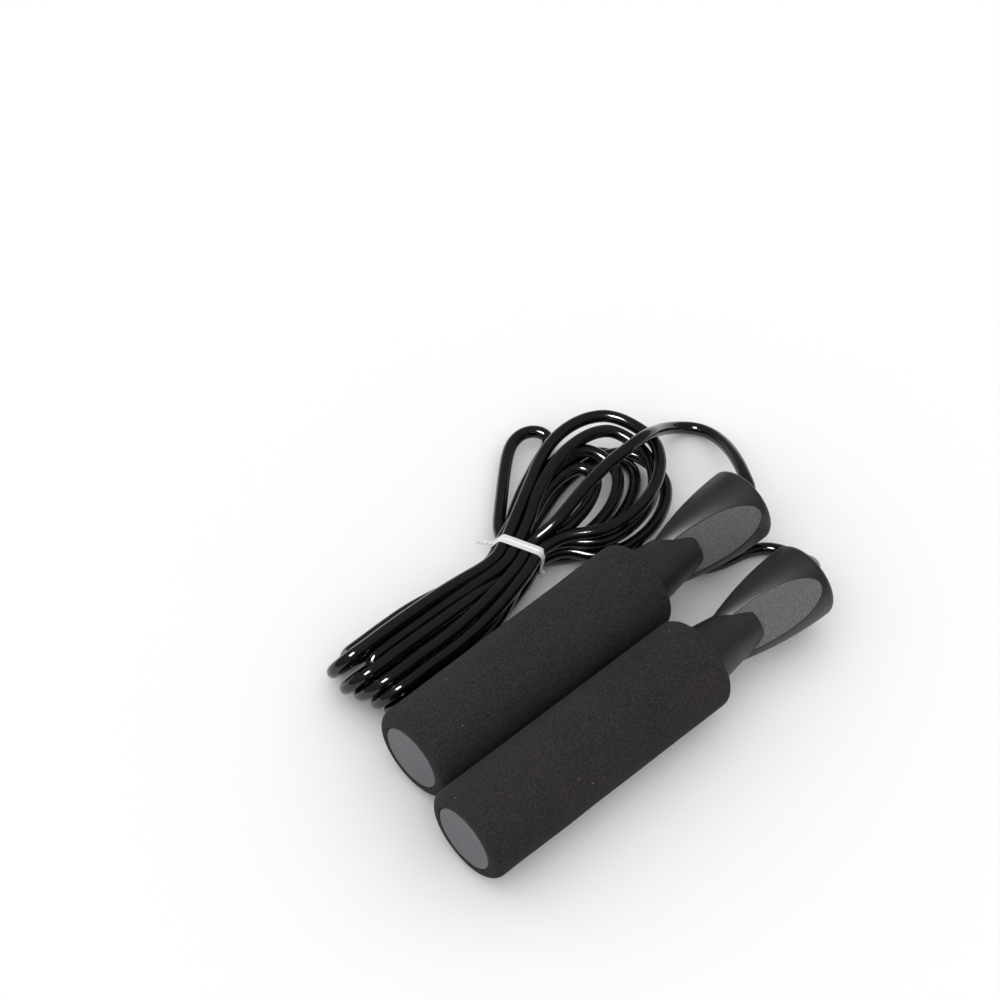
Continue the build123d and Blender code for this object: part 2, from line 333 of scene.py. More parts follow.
class SoftMottle(EffectGroup):
    """Slow, cloudy variation over a surface, 0 to 1."""

    name = "soft_mottle"
    inputs = (("Place", "NodeSocketVector", 0.0), ("Patch Size", "NodeSocketFloat", 0.02))
    outputs = ("Mask",)

    def wire(self, board: Board, start: bpy.types.Node, end: bpy.types.Node) -> None:
        """Add one wide noise and spread its values.

        Args:
            board: The group's board.
            start: Its input node.
            end: Its output node.
        """
        cloud = board.add("ShaderNodeTexNoise", noise_dimensions="3D")
        cloud.inputs["Detail"].default_value = 4.0
        board.join(start.outputs["Place"], cloud.inputs["Vector"])
        rate = board.sum("DIVIDE", 1.0, start.outputs["Patch Size"])
        board.join(rate, cloud.inputs["Scale"])
        board.join(board.ramp(cloud.outputs[0], 0.32, 0.68), end.inputs["Mask"])


GRAIN = FineGrain()
SPECKS = StraySpecks()
MOTTLE = SoftMottle()


# ---- Finishes -------------------------------------------------------------------------------


@dataclass(frozen=True)
class Finish:
    """A material's name, its two colours and how its surface is broken up."""

    name: str
    colour: Colour
    second_colour: Colour
    roughness: float
    grain_size: float = 0.5 * MM
    grain_depth: float = 0.05 * MM
    patch_size: float = 20 * MM
    cloud_share: float = 0.25
    speck_colour: Colour | None = None
    speck_share: float = 0.15
    metallic: float = 0.0
    specular: float = 0.5
    sheen: float = 0.0
    coat: float = 0.0

    def surface(self) -> tuple[bpy.types.Material, Board, bpy.types.Node, bpy.types.NodeSocket]:
        """Start a material with a Principled shader and object coordinates.

        Returns:
            The material, its board, its shader and the coordinates' socket.
        """
        material = bpy.data.materials.new(self.name)
        material.use_nodes = True
        board = Board(material.node_tree)
        shader = material.node_tree.nodes["Principled BSDF"]
        shader.inputs["Roughness"].default_value = self.roughness
        shader.inputs["Metallic"].default_value = self.metallic
        shader.inputs["Specular IOR Level"].default_value = self.specular
        shader.inputs["Sheen Weight"].default_value = self.sheen
        shader.inputs["Coat Weight"].default_value = self.coat
        shader.inputs["Coat Roughness"].default_value = 0.08
        place = board.add("ShaderNodeTexCoord").outputs["Object"]
        return material, board, shader, place

    def bump(
        self, board: Board, shader: bpy.types.Node, height: bpy.types.NodeSocket, depth: float
    ) -> None:
        """Feed a height into the shader's normal.

        Args:
            board: The material's board.
            shader: Its Principled shader.
            height: The height's socket, 0 to 1.
            depth: How deep the height goes, in metres.
        """
        node = board.add("ShaderNodeBump")
        node.inputs["Distance"].default_value = depth
        board.join(height, node.inputs["Height"])
        board.join(node.outputs["Normal"], shader.inputs["Normal"])

    def material(self) -> bpy.types.Material:
        """Build the finish: mottled grain, with specks where it has any.

        Returns:
            The material.
        """
        if self.name in bpy.data.materials:
            return bpy.data.materials[self.name]
        material, board, shader, place = self.surface()
        grain = GRAIN.on(board, place, Grain_Size=self.grain_size)
        cloud = MOTTLE.on(board, place, Patch_Size=self.patch_size)
        share = board.sum("MULTIPLY", grain.outputs["Mask"], 1.0 - self.cloud_share)
        clouds = board.sum("MULTIPLY", cloud.outputs["Mask"], self.cloud_share)
        share = board.sum("ADD", share, clouds)
        colour = board.mix(share, self.colour, self.second_colour)
        if self.speck_colour is not None:
            speck = SPECKS.on(board, place, Share=self.speck_share)
            colour = board.mix(speck.outputs["Mask"], colour, self.speck_colour)
        board.join(colour, shader.inputs["Base Color"])
        rough = board.sum("MULTIPLY_ADD", cloud.outputs["Mask"], 0.08)
        rough.node.inputs[2].default_value = self.roughness - 0.04
        board.join(rough, shader.inputs["Roughness"])
        self.bump(board, shader, grain.outputs["Height"], self.grain_depth)
        return material


@dataclass(frozen=True)
class CoreFinish(Finish):
    """Satin moulded plastic whose flat scoops are greyer and more coarsely grained, and painted lighter
    to stand in for the key light's reflection on them.
    """

    side: Side = Side.LEFT
    # The scoops' two colours are partly their greyer grained finish and partly a painted highlight:
    # lighter to stand in for the key light reflecting off the flat scoops.
    scoop_grey_and_painted_sheen: Colour = (0.080, 0.073, 0.076)
    scoop_speck_and_painted_sheen: Colour = (0.150, 0.140, 0.140)
    scoop_roll: dict[Side, float] = field(
        default_factory=lambda: {Side.LEFT: 51.0, Side.RIGHT: 44.0}
    )
    scoop_slope: float = 0.30

    def scoop_normals(self) -> tuple[Vector, Vector]:
        """Work out which way the two scoops face, in the model's frame.

        Returns:
            The scoops' outward normals.
        """
        up = Vector((-self.scoop_slope, 0.0, 1.0)).normalized()
        down = Vector((-self.scoop_slope, 0.0, -1.0)).normalized()
        roll = Matrix.Rotation(math.radians(self.scoop_roll[self.side]), 3, "X")
        turn = HANDLES[self.side].place().to_3x3()
        return turn @ roll @ up, turn @ roll @ down

    def scoop_mask(self, board: Board) -> bpy.types.NodeSocket:
        """Tell the flat scoops from the rest by the way they face.

        Args:
            board: The material's board.

        Returns:
            The socket of a mask that is 1 on the scoops.
        """
        normal = board.add("ShaderNodeTexCoord").outputs["Normal"]
        facing = []
        for direction in self.scoop_normals():
            dot = board.add("ShaderNodeVectorMath", operation="DOT_PRODUCT")
            board.join(normal, dot.inputs[0])
            dot.inputs[1].default_value = direction
            facing.append(dot.outputs["Value"])
        return board.ramp(board.sum("MAXIMUM", *facing), 0.990, 0.998)

    def material(self) -> bpy.types.Material:
        """Build the finish, with the scoops told apart by the way they face.

        Returns:
            The material.
        """
        material, board, shader, place = self.surface()
        grain = GRAIN.on(board, place, Grain_Size=self.grain_size)
        cloud = MOTTLE.on(board, place, Patch_Size=self.patch_size)
        scoop = self.scoop_mask(board)
        body = board.mix(cloud.outputs["Mask"], self.colour, self.second_colour)
        # Scoop floors: greyer grain plus a painted highlight for the key light's reflection.
        floor = board.mix(grain.outputs["Mask"], self.scoop_grey_and_painted_sheen, self.scoop_speck_and_painted_sheen)
        board.join(board.mix(scoop, body, floor), shader.inputs["Base Color"])
        rough = board.sum("MULTIPLY_ADD", scoop, 0.12)
        rough.node.inputs[2].default_value = self.roughness
        board.join(rough, shader.inputs["Roughness"])
        depth = board.sum("MULTIPLY_ADD", scoop, 0.8)
        depth.node.inputs[2].default_value = 0.2
        height = board.sum("MULTIPLY", grain.outputs["Height"], depth)
        self.bump(board, shader, height, self.grain_depth)
        return material


FOAM = Finish(
    "grip_foam",
    (0.0055, 0.0043, 0.0044),
    (0.0300, 0.0236, 0.0242),
    0.92,
    grain_size=0.7 * MM,
    grain_depth=0.5 * MM,
    patch_size=30 * MM,
    speck_colour=(0.30, 0.26, 0.20),
    specular=0.2,
    sheen=0.02,
)
PLUG = Finish(
    "plug_plastic",
    (0.078, 0.075, 0.086),
    (0.098, 0.094, 0.106),
    0.5,
    grain_size=1.6 * MM,
    grain_depth=0.02 * MM,
    patch_size=8 * MM,
)
CORD = Finish(
    "glossy_cord",
    (0.0024, 0.0020, 0.0026),
    (0.0040, 0.0033, 0.0042),
    0.12,
    grain_size=2.5 * MM,
    grain_depth=0.012 * MM,
    patch_size=25 * MM,
    specular=0.6,
)
STEEL = Finish("bearing_steel", (0.50, 0.50, 0.51), (0.62, 0.62, 0.63), 0.28, metallic=1.0)
SLEEVE = Finish("sleeve_metal", (0.66, 0.66, 0.67), (0.78, 0.78, 0.79), 0.24, metallic=1.0)
BRASS = Finish("cage_brass", (0.62, 0.43, 0.17), (0.74, 0.55, 0.25), 0.32, metallic=1.0)
TIE_FILM = Finish(
    "tie_film",
    (0.86, 0.86, 0.88),
    (0.93, 0.93, 0.94),
    0.28,
    grain_size=1.2 * MM,
    grain_depth=0.05 * MM,
    patch_size=5 * MM,
    coat=0.4,
)


# ---- Meshes ---------------------------------------------------------------------------------


def mesh_object(
    name: str, points: list[Vector], faces: list[tuple[int, ...]]
) -> bpy.types.Object:
    """Make a smooth-shaded mesh object in the scene.

    Args:
        name: The piece's name.
        points: Vertices in the model's frame.
        faces: Faces as vertex numbers.

    Returns:
        The object.
    """
    mesh = bpy.data.meshes.new(name)
    mesh.from_pydata(points, [], faces)
    mesh.polygons.foreach_set("use_smooth", [True] * len(mesh.polygons))
    mesh.update()
    piece = bpy.data.objects.new(name, mesh)
    bpy.context.scene.collection.objects.link(piece)
    return piece


def woven_faces(rows: int, columns: int, closed: bool) -> list[tuple[int, int, int, int]]:
    """Join a grid of vertices whose columns close on themselves.

    Args:
        rows: Number of rings.
        columns: Vertices in each ring.
        closed: Whether the last ring joins the first.

    Returns:
        The grid's quads.
    """
    faces = []
    for row in range(rows if closed else rows - 1):
        following = (row + 1) % rows
        for column in range(columns):
            beside = (column + 1) % columns
            faces.append(
                (
                    row * columns + column,
                    row * columns + beside,
                    following * columns + beside,
                    following * columns + column,
                )
            )
    return faces


def dress(piece: bpy.types.Object, material: bpy.types.Material) -> None:
    """Give a piece one material in every slot it has.

    Args:
        piece: The piece.
        material: Its material.
    """
    if not piece.material_slots:
        piece.data.materials.append(material)
    for material_slot in piece.material_slots:
        material_slot.material = material


@dataclass
class Handle:
    """One handle: its foam grip is modelled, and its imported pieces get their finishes."""

    side: Side
    grip_length: float = 105 * MM
    grip_radius: float = 17 * MM
    grip_bore: float = 12 * MM
    neck_bore: float = 11.15 * MM
    corner: float = 3.7 * MM
    ripple: float = 0.22 * MM
    ripple_rate: float = 90.0
    around: int = 144

    def profile(self) -> list[tuple[float, float]]:
        """Trace the grip's section: along the axis and out from it.

        Returns:
            Pairs of distance and radius, going once round the section.
        """
        start, end = self.corner, self.grip_length - self.corner
        edge = self.grip_radius - self.corner
        steps = 9
        turn = [math.pi / 2 * step / steps for step in range(steps + 1)]
        near = [
            (start - self.corner * math.cos(a), edge + self.corner * math.sin(a)) for a in turn
        ]
        far = [(end + self.corner * math.sin(a), edge + self.corner * math.cos(a)) for a in turn]
        rows = 90
        side = [
            (start + (end - start) * row / rows, self.grip_radius) for row in range(1, rows)
        ]
        bore = [
            (self.grip_length, self.neck_bore),
            (self.grip_length - 6 * MM, self.grip_bore),
            (self.grip_length / 2, self.grip_bore),
            (0.0, self.grip_bore),
        ]
        return near + side + far + bore

    def grip(self) -> bpy.types.Object:
        """Model the foam sleeve, with the slight unevenness of cut foam.

        Returns:
            The grip.
        """
        place = HANDLES[self.side].place()
        profile = self.profile()
        points = []
        for along, radius in profile:
            for step in range(self.around):
                angle = 2 * math.pi * step / self.around
                spot = Vector((along, radius * math.cos(angle), radius * math.sin(angle)))
                uneven = noise.noise(spot * self.ripple_rate + Vector((0, 0, 7 * len(self.side.value))))
                shrink = self.ripple * (0.5 + 0.5 * uneven) if radius > self.grip_bore else 0.0
                spot.y -= shrink * math.cos(angle)
                spot.z -= shrink * math.sin(angle)
                points.append(place @ spot)
        faces = woven_faces(len(profile), self.around, closed=True)
        return mesh_object(f"{self.side.value}_grip_sleeve", points, faces)

    def build(self) -> None:
        """Make the grip and dress every piece of the handle."""
        name = self.side.value
        grip = self.grip()
        dress(grip, FOAM.material())
        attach(grip, f"{name}_handle")
        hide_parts(f"{name}_foam_grip")
        core = CoreFinish(
            f"{name}_core_plastic",
            (0.0090, 0.0084, 0.0104),
            (0.0130, 0.0122, 0.0146),
            0.44,
            grain_size=0.42 * MM,
            grain_depth=0.06 * MM,
            patch_size=12 * MM,
            side=self.side,
        )
        finishes = {
            "handle_core": core,
            "end_plug": PLUG,
            "bearing_outer_race": STEEL,
            "bearing_inner_race": STEEL,
            "bearing_balls": STEEL,
            "bearing_shields": STEEL,
            "snap_ring": STEEL,
            "bearing_cage": BRASS,
            "cord_sleeve": SLEEVE,
            "thrust_washer": SLEEVE,
            "cord_ferrule": SLEEVE,
            "cord_end": CORD,
        }
        for node, finish in finishes.items():
            dress(frame["nodes"][f"{name}_{node}"], finish.material())
        log.info("%s handle dressed, grip of %d faces", name, len(grip.data.polygons))


# ---- Cord -----------------------------------------------------------------------------------


@dataclass(frozen=True)
class Bight:
    """A fold on the plug side of the tie: a run out, a tight turn and a run back under it."""

    top_slot: tuple[int, int]
    bottom_slot: tuple[int, int]
    top: tuple[float, float]
    bottom: tuple[float, float]
    tip: float
    bow: float = 0.3


@dataclass(frozen=True)
class OpenLoop:
    """A wide loop on the head side of the tie."""

    left_slot: tuple[int, int]
    right_slot: tuple[int, int]
    turn: float
    reach: float
    left_width: float
    right_width: float
    sink: float = 0.0


@dataclass
class JumpCord:
    """The whole cord, from one handle through the hank to the other."""

    diameter: float = 4.6 * MM
    length: float = 2.52
    exit_distance: float = 152 * MM
    first_run: float = 5.5 * MM
    tie_centre: Point = (0.0920, 0.0772, 0.0)
    tie_turn: float = 24.0
    pitch: float = 4.067 * MM
    layer_floor: float = 2.95 * MM
    layer_rise: float = 3.7 * MM
    layer_stagger: float = 0.9 * MM
    layer_lean: float = 0.4 * MM
    slot_half_length: float = 9 * MM
    fan: tuple[float, ...] = (0.10, 0.0, -0.15, -0.30)
    shoulder_start: float = 5 * MM
    shoulder_length: float = 8.5 * MM
    loop_start: float = 3 * MM
    stray_start: float = 3 * MM
    left_slimness: float = 1.0
    right_slimness: float = 0.2
    arm_angles: tuple[float, ...] = (1.15, 1.55, 1.95, 2.38, 2.8)
    left_lead: tuple[Point, ...] = (
        (0.1690, 0.0404, 0.017),
        (0.1722, 0.0462, 0.016),
        (0.1760, 0.0528, 0.0139),
        (0.1798, 0.0600, 0.0106),
        (0.1828, 0.0674, 0.007),
        (0.1844, 0.0748, 0.0038),
        (0.1829, 0.0810, 0.00245),
        (0.1779, 0.0851, 0.0032),
        (0.1709, 0.0856, 0.0077),
        (0.1643, 0.0832, 0.0137),
        (0.1589, 0.0808, 0.0192),
        (0.1531, 0.0794, 0.0225),
        (0.1458, 0.0788, 0.0232),
        (0.1366, 0.0790, 0.0222),
        (0.1264, 0.0778, 0.0209),
        (0.1162, 0.0759, 0.0194),
        (0.1066, 0.0740, 0.0174),
    )
    right_lead: tuple[Point, ...] = (
        (0.1622, 0.0019, 0.0152),
        (0.1650, 0.0055, 0.012),
        (0.1661, 0.0100, 0.0084),
        (0.1667, 0.0153, 0.005),
        (0.1662, 0.0209, 0.0029),
        (0.1632, 0.0255, 0.0024),
        (0.1582, 0.0284, 0.00235),
        (0.1524, 0.0298, 0.0024),
        (0.1462, 0.0312, 0.00235),
        (0.1406, 0.0336, 0.0024),
        (0.1370, 0.0386, 0.00235),
        (0.1342, 0.0446, 0.0024),
        (0.1312, 0.0510, 0.00235),
        (0.1269, 0.0569, 0.0024),
        (0.1212, 0.0619, 0.00235),
        (0.1148, 0.0656, 0.0024),
    )
    shoulder: tuple[Point, ...] = (
        (0.1084, 0.0688, 0.0024),
        (0.1032, 0.0722, 0.0028),
    )

    def slot(self, cell: tuple[int, int], along: float) -> Vector:
        """Return a point in one of the sixteen places that the cord has inside the tie.

        Args:
            cell: Layer from the surface up, and column from the far side to the near one.
            along: Distance from the tie's middle towards the heads.

        Returns:
            The point, measured from under the right plug's face.
        """
        layer, column = cell
        turn = math.radians(self.tie_turn)
        forward = Vector((math.cos(turn), math.sin(turn), 0.0))
        across = Vector((-forward.y, forward.x, 0.0))
        side = self.offset(layer, column) + max(along, 0.0) * self.fan[column]
        spot = Vector(self.tie_centre) + forward * along + across * side
        spot.z = self.layer_floor + layer * self.layer_rise
        return spot

    def offset(self, layer: int, column: int) -> float:
        """Return how far across the tie a place is: each layer is set over from the last."""
        stagger = self.layer_stagger * (-1) ** layer
        return stagger + self.layer_lean * (1.5 - layer) + (1.5 - column) * self.pitch

    def fold(self, bight: Bight) -> list[Vector]:
        """Place the points of a bight, from its upper slot round to its lower one.

        Args:
            bight: The bight's places and sizes.

        Returns:
            Points measured from under the right plug's face.
        """
        cells = (bight.top_slot, bight.bottom_slot)
        ends = [self.slot(cell, -self.slot_half_length) for cell in cells]
        middles = [self.slot(cell, 0.0) for cell in cells]
        runs = []
        for end, (across, height) in zip(ends, (bight.top, bight.bottom)):
            spots = []
            for share, drift in ((0.74, 0.32), (0.50, 0.0), (0.27, 0.0)):
                side = across + drift * (end.y - across) + bight.bow * MM
                rise = height + 0.8 * drift * (end.z - height)
                spots.append(Vector((bight.tip + share * (end.x - bight.tip), side, rise)))
            runs.append(spots)
        top, bottom = Vector((0.0, *bight.top)), Vector((0.0, *bight.bottom))
        centre, arm = (top + bottom) / 2, (top - bottom) / 2
        nose = []
        near, far = 1 - OCTAGON, 1 + OCTAGON
        turn = ((1.0, far), (1.0, near), (OCTAGON, 0.0), (-OCTAGON, 0.0), (-1.0, near), (-1.0, far))
        for out, along in turn:
            forward = bight.tip + along * arm.length
            nose.append(centre + arm * out + Vector((forward, 0.0, 0.0)))
        return [middles[0], ends[0], *runs[0], *nose, *reversed(runs[1]), ends[1], middles[1]]

    def swing(self, loop: OpenLoop) -> list[Vector]:
        """Place the points of an open loop, from its left slot round to its right one.

        Args:
            loop: The loop's places and sizes.

        Returns:
            Points measured from under the right plug's face.
        """
        turn = math.radians(loop.turn)
        forward = Vector((math.cos(turn), math.sin(turn), 0.0))
        across = Vector((-forward.y, forward.x, 0.0))
        heights = [LEVELS[cell[0]].value for cell in (loop.left_slot, loop.right_slot)]
        arms = []
        for width, fullness, height, other in (
            (loop.left_width, self.left_slimness, *heights),
            (-loop.right_width, self.right_slimness, *reversed(heights)),
        ):
            arm = []
            for angle in self.arm_angles:
                share = (1 - math.cos(angle)) / 2
                side = width * math.sin(angle) * math.sin(angle / 2) ** fullness
                spot = Vector(self.tie_centre) + across * side
                spot += forward * (loop.reach * share + self.loop_start)
                level = height if angle < self.arm_angles[-1] else 0.75 * height + 0.25 * other
                spot.z = max(Level.FLOOR.value, level - loop.sink * share)
                arm.append(spot)
            arms.append(arm)
        left = self.leave(loop.left_slot, arms[0][0])
        right = self.leave(loop.right_slot, arms[1][0])
        return [*left, *arms[0], *reversed(arms[1]), *reversed(right)]

    def leave(self, cell: tuple[int, int], target: Vector) -> list[Vector]:
        """Place the two points that turn the cord from the tie towards a loop's arm.

        Args:
            cell: Layer and column of the cord's place in the tie.
            target: The arm's first point.

        Returns:
            The two points, the one nearer the tie first.
        """
        end = self.slot(cell, self.shoulder_start)
        forward = (end - self.slot(cell, 0.0)).normalized()
        way = (forward + (target - end).normalized()).normalized()
        return [end, end + way * self.shoulder_length]

    def route(self) -> list[Vector]:
        """String the leads, bights and loops together.

        Returns:
            The cord's control points in the model's frame, from the left handle's exit.
        """
        left, right = HANDLES[Side.LEFT], HANDLES[Side.RIGHT]
        points = [left.at(self.exit_distance), left.at(self.exit_distance + self.first_run)]
        points += [laid(point) for point in self.left_lead]
        points.append(laid(self.slot((3, 2), self.shoulder_start)))
        for name, backwards in ORDER:
            if name in BIGHTS:
                part = self.fold(BIGHTS[name])
            elif name in LOOPS:
                part = self.swing(LOOPS[name])
            else:
                ends = self.slot((1, 0), self.stray_start), self.slot((0, 0), self.shoulder_start)
                part = [ends[0], *map(Vector, STRAY), ends[1]]
            points += [laid(point) for point in (reversed(part) if backwards else part)]
        points.append(laid(self.slot((0, 3), self.shoulder_start)))
        points += [laid(point) for point in reversed(self.right_lead + self.shoulder)]
        points += [right.at(self.exit_distance + self.first_run), right.at(self.exit_distance)]
        return points

    def build(self) -> bpy.types.Object:
        """Model the cord as one smooth tube.

        Returns:
            The cord.
        """
        points = self.route()
        curve = bpy.data.curves.new("jump_cord", "CURVE")
        curve.dimensions = "3D"
        spline = curve.splines.new("NURBS")
        spline.points.add(len(points) - 1)
        for target, point in zip(spline.points, points):
            target.co = (*point, 1.0)
        spline.order_u = 3
        spline.use_endpoint_u = True
        spline.use_smooth = True
        curve.resolution_u = 10
        curve.bevel_depth = self.diameter / 2
        curve.bevel_resolution = 6
        curve.use_fill_caps = True
        cord = bpy.data.objects.new("jump_cord", curve)
        bpy.context.scene.collection.objects.link(cord)
        dress(cord, CORD.material())
        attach(cord, "rope")
        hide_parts("cord_hank", "left_cord_lead", "right_cord_lead")
        log.info("cord of %d control points", len(points))
        return cord




BIGHTS: dict[str, Bight] = {
    "outer": Bight((3, 0), (0, 0), (0.0782, 0.0172), (0.0852, 0.0024), 0.0134),
    "second": Bight((2, 2), (0, 1), (0.0692, 0.0168), (0.0780, 0.0024), 0.0125),
    "third": Bight((3, 2), (0, 2), (0.0627, 0.0172), (0.0732, 0.0024), 0.0144),
    "near": Bight((3, 3), (0, 3), (0.0577, 0.0166), (0.0664, 0.0024), 0.0166),
    "nearest": Bight((2, 3), (1, 3), (0.0548, 0.0126), (0.0614, 0.0026), 0.0189),
    "inner_far": Bight((2, 0), (1, 0), (0.0786, 0.0124), (0.0858, 0.0067), 0.0200),
    "inner_middle": Bight((2, 1), (1, 1), (0.0705, 0.0118), (0.0790, 0.0068), 0.0310),
    "inner_near": Bight((3, 1), (1, 2), (0.0742, 0.0150), (0.0676, 0.0066), 0.0215),
}
LOOPS: dict[str, OpenLoop] = {
    "widest": OpenLoop((3, 0), (3, 3), 11, 0.0685, 0.0248, 0.0258, sink=3 * MM),
    "upper": OpenLoop((3, 1), (2, 3), 9, 0.0625, 0.0175, 0.0255, sink=1.5 * MM),
    "small": OpenLoop((2, 1), (2, 2), 13, 0.0420, 0.0090, 0.0095),
    "middle": OpenLoop((2, 0), (1, 2), 12, 0.0520, 0.0175, 0.0148),
    "low": OpenLoop((1, 1), (1, 3), 2, 0.0640, 0.0190, 0.0245, sink=2 * MM),
    "floor": OpenLoop((0, 1), (0, 2), 10, 0.0600, 0.0190, 0.0165),
}
STRAY: tuple[Point, ...] = (
    (0.0940, 0.0859, 0.0068),
    (0.0948, 0.0890, 0.0068),
    (0.0978, 0.0934, 0.0065),
    (0.1054, 0.1006, 0.006),
    (0.1136, 0.1084, 0.0055),
    (0.1211, 0.1151, 0.005),
    (0.1262, 0.1184, 0.005),
    (0.1309, 0.1195, 0.005),
    (0.1352, 0.1187, 0.0047),
    (0.1381, 0.1160, 0.0045),
    (0.1388, 0.1124, 0.004),
    (0.1358, 0.1094, 0.0032),
    (0.1294, 0.1074, 0.0028),
    (0.1223, 0.1041, 0.0026),
    (0.1152, 0.1006, 0.0026),
    (0.1088, 0.0968, 0.0026),
    (0.1028, 0.0930, 0.0026),
    (0.0976, 0.0892, 0.0028),
)
ORDER: tuple[tuple[str, bool], ...] = (
    ("third", False),
    ("floor", True),
    ("second", True),
    ("small", True),
    ("inner_middle", False),
    ("low", False),
    ("nearest", True),
    ("upper", True),
    ("inner_near", False),
    ("middle", True),
    ("inner_far", False),
    ("stray", False),
    ("outer", True),
    ("widest", False),
    ("near", False),
)


# ---- Tie ------------------------------------------------------------------------------------


@dataclass(frozen=True)
class TwistTie:
    """A white film strip with a thin wire in it, wrapped round the hank and twisted."""

    cord: JumpCord
    width: float = 3.4 * MM
    film: float = 0.25 * MM
    wire_radius: float = 0.32 * MM
    fit: float = 0.05 * MM
    around: int = 120
    tail_height: float = 12 * MM
    tail_length: float = 7 * MM
    nib_height: float = 5.5 * MM
    nib_length: float = 2.2 * MM
    strand_radius: float = 0.42 * MM
    twist_step: float = 3.2 * MM

    def reach(self, out: Vector) -> Vector:
        """Find where the strip lies in one direction, outside the outermost run of cord.

        Args:
            out: Unit direction across the bundle.

        Returns:
            The point, with Y across the bundle and Z up.
        """
        cord = self.cord
        runs = [
            Vector((0.0, cord.offset(layer, column), cord.layer_floor + layer * cord.layer_rise))
            for layer in range(4)
            for column in (0, 3)
        ]
        furthest = max(runs, key=out.dot)
        return furthest + out * (cord.diameter / 2 + self.fit + self.film / 2)

    def loop(self) -> list[Vector]:
        """Trace the strip's middle line round the bundle, in the plane across it.

        Returns:
            Points with Y across the bundle and Z up.
        """
        turns = [math.tau * step / self.around for step in range(self.around)]
        return [self.reach(Vector((0.0, math.cos(turn), math.sin(turn)))) for turn in turns]

    def section(self) -> list[tuple[float, float]]:
        """Trace the strip's section: along the bundle and out from it.

        Returns:
            Pairs of offsets, going once round the section.
        """
        half = self.width / 2
        edge = self.film / 2
        ridge = []
        for step in range(9):
            angle = math.pi * step / 8
            ridge.append((self.wire_radius * math.cos(angle), edge + self.wire_radius * math.sin(angle)))
        return [(half, edge), *ridge, (-half, edge), (-half, -edge), (half, -edge)]

    def build(self) -> None:
        """Make the strip round the bundle."""
        turn = Matrix.Rotation(math.radians(self.cord.tie_turn), 4, "Z")
        place = Matrix.Translation(laid(self.cord.tie_centre)) @ turn
        line = self.loop()
        count = len(line)
        section = self.section()
        points = []
        for index, spot in enumerate(line):
            tangent = (line[(index + 1) % count] - line[index - 1]).normalized()
            out = tangent.cross(Vector((1, 0, 0)))
            for along, rise in section:
                points.append(place @ (spot + Vector((along, 0, 0)) + out * rise))
        strip = mesh_object("tie_strip", points, woven_faces(count, len(section), closed=True))
        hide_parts("twist_tie")
        ends = []
        for name, side, height, length in (
            ("tie_tail", 1.0, self.tail_height, self.tail_length),
            ("tie_nib", -1.0, self.nib_height, self.nib_length),
        ):
            level = min(self.loop(), key=lambda spot: abs(spot.z - height) - side * spot.y)
            root = level - Vector((0.0, side * self.film, 0.0))
            ends.append(self.twist(name, place, root, Vector((-0.25, side, -0.1)), length))
        for piece in (strip, *ends):
            dress(piece, TIE_FILM.material())
            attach(piece, "rope")

    def twist(
        self, name: str, place: Matrix, root: Vector, way: Vector, length: float
    ) -> bpy.types.Object:
        """Make an end of the tie: two strands wound round each other, fraying apart at the tip.

        Args:
            name: The piece's name.
            place: From the tie's frame to the model's.
            root: Where the end leaves the strip.
            way: The direction that it points in.
            length: How far it stands out.

        Returns:
            The end.
        """
        way = way.normalized()
        flat = way.cross(Vector((0.0, 0.0, 1.0))).normalized()
        rise = flat.cross(way)
        rows, columns = 28, 10
        points, faces = [], []
        for strand in range(2):
            first = len(points)
            for row in range(rows):
                along = length * row / (rows - 1)
                turn = math.tau * along / self.twist_step + math.pi * strand
                spread = self.strand_radius * (0.95 + 1.1 * max(0.0, along / length - 0.6))
                radius = self.strand_radius * (1.0 if 0 < row < rows - 1 else 0.4)
                offset = (flat * math.cos(turn) + rise * math.sin(turn)) * spread
                for column in range(columns):
                    angle = math.tau * column / columns
                    skin = (flat * math.cos(angle) + rise * math.sin(angle)) * radius
                    points.append(place @ (root + way * along + offset + skin))
            woven = woven_faces(rows, columns, closed=False)
            faces += [tuple(first + corner for corner in face) for face in woven]
            faces.append(tuple(first + column for column in reversed(range(columns))))
            faces.append(tuple(first + (rows - 1) * columns + column for column in range(columns)))
        return mesh_object(name, points, faces)


# ---- Studio ---------------------------------------------------------------------------------


@dataclass(frozen=True)
class SoftLight:
    """A rectangular light that shines at the origin."""

    name: str
    place: Point
    size: tuple[float, float]
    power: float
    gloss_only: bool = False

    def build(self) -> None:
        """Add the light to the scene."""
        data = bpy.data.lights.new(self.name, "AREA")
        data.shape = "RECTANGLE"
        data.size, data.size_y = self.size
        data.energy = self.power
        lamp = bpy.data.objects.new(self.name, data)
        lamp.location = self.place
        lamp.rotation_euler = Vector(self.place).to_track_quat("Z", "Y").to_euler()
        lamp.visible_diffuse = not self.gloss_only
        bpy.context.scene.collection.objects.link(lamp)


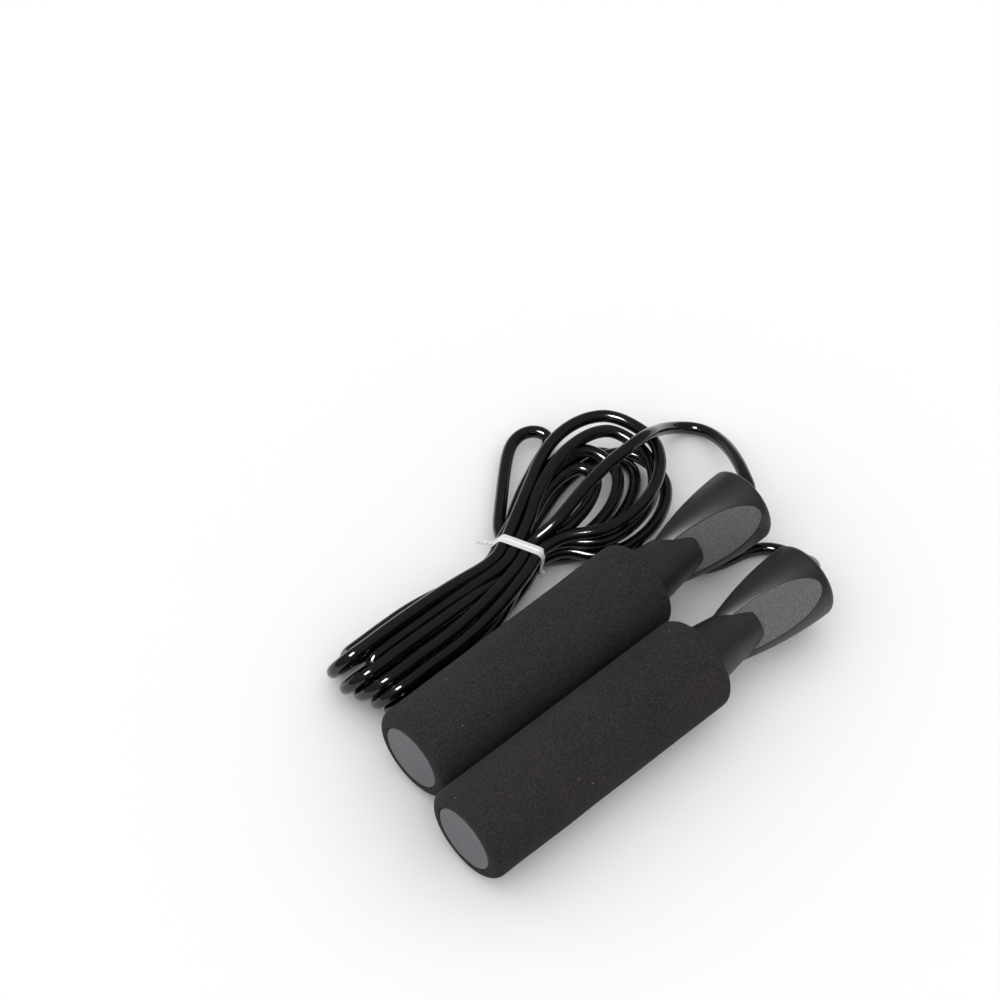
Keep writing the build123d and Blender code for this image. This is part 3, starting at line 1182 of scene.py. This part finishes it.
@dataclass
class Studio:
    """Pale floor, soft lights and the camera."""

    camera_place: Point = (-0.37315, -0.36242, 0.77045)
    camera_azimuth: float = -41.696
    camera_elevation: float = 52.018
    camera_roll: float = 0.146
    lens: float = 98.3
    floor_size: float = 3.0
    floor_colour: Colour = (0.93, 0.93, 0.93)
    sky_strength: float = 1.08
    sky_in_gloss: float = 0.24
    lights: tuple[SoftLight, ...] = (
        SoftLight("key", (-0.30, 0.02, 0.9), (0.36, 0.32), 20.0, gloss_only=True),
    )

    def floor(self) -> None:
        """Lay the pale floor."""
        half = self.floor_size / 2
        ground = ((-half, -half), (half, -half), (half, half), (-half, half))
        corners = [Vector((*spot, 0.0)) for spot in ground]
        floor = mesh_object("floor", corners, [(0, 1, 2, 3)])
        material = bpy.data.materials.new("pale_floor")
        material.use_nodes = True
        shader = material.node_tree.nodes["Principled BSDF"]
        shader.inputs["Base Color"].default_value = (*self.floor_colour, 1.0)
        shader.inputs["Roughness"].default_value = 0.9
        shader.inputs["Specular IOR Level"].default_value = 0.1
        dress(floor, material)

    def camera(self) -> None:
        """Set the camera at its place, looking the way it looks."""
        azimuth, elevation = math.radians(self.camera_azimuth), math.radians(self.camera_elevation)
        back = Vector(
            (
                math.sin(azimuth) * math.cos(elevation),
                -math.cos(azimuth) * math.cos(elevation),
                math.sin(elevation),
            )
        )
        right = Vector((0, 0, 1)).cross(back).normalized()
        up = back.cross(right)
        turn = Matrix((right, up, back)).transposed()
        roll = Matrix.Rotation(math.radians(self.camera_roll), 3, "Z")
        data = bpy.data.cameras.new("camera")
        data.lens = self.lens
        data.sensor_width = 36.0
        data.clip_start, data.clip_end = 0.05, 20.0
        camera = bpy.data.objects.new("camera", data)
        camera.matrix_world = Matrix.Translation(self.camera_place) @ (turn @ roll).to_4x4()
        bpy.context.scene.collection.objects.link(camera)
        bpy.context.scene.camera = camera

    def build(self) -> None:
        """Add the floor, the sky, the lights and the camera."""
        self.floor()
        world = bpy.data.worlds.new("soft_sky")
        bpy.context.scene.world = world
        world.use_nodes = True
        board = Board(world.node_tree)
        sky = world.node_tree.nodes["Background"]
        sky.inputs["Color"].default_value = (1, 1, 1, 1)
        glossy = board.add("ShaderNodeLightPath").outputs["Is Glossy Ray"]
        strength = board.sum("MULTIPLY_ADD", glossy, self.sky_in_gloss - self.sky_strength)
        strength.node.inputs[2].default_value = self.sky_strength
        board.join(strength, sky.inputs["Strength"])
        for light in self.lights:
            light.build()
        self.camera()
        bpy.context.scene.view_settings.view_transform = "Standard"


# ---- Everything -----------------------------------------------------------------------------


def declare_cord(sizes: JumpCord) -> None:
    """Work out where the cord leaves the left handle; nothing is kept.

    Args:
        sizes: The cord's sizes.
    """
    tuple(HANDLES[Side.LEFT].at(sizes.exit_distance))


def main() -> None:
    """Build the looks in order, logging the handles and the cord."""
    logging.basicConfig(level=logging.INFO, format="%(name)s: %(message)s")
    for side in Side:
        Handle(side).build()
    sizes = JumpCord()
    cord = sizes.build()
    TwistTie(sizes).build()
    declare_cord(sizes)
    Studio().build()


if __name__ == "__main__":
    main()
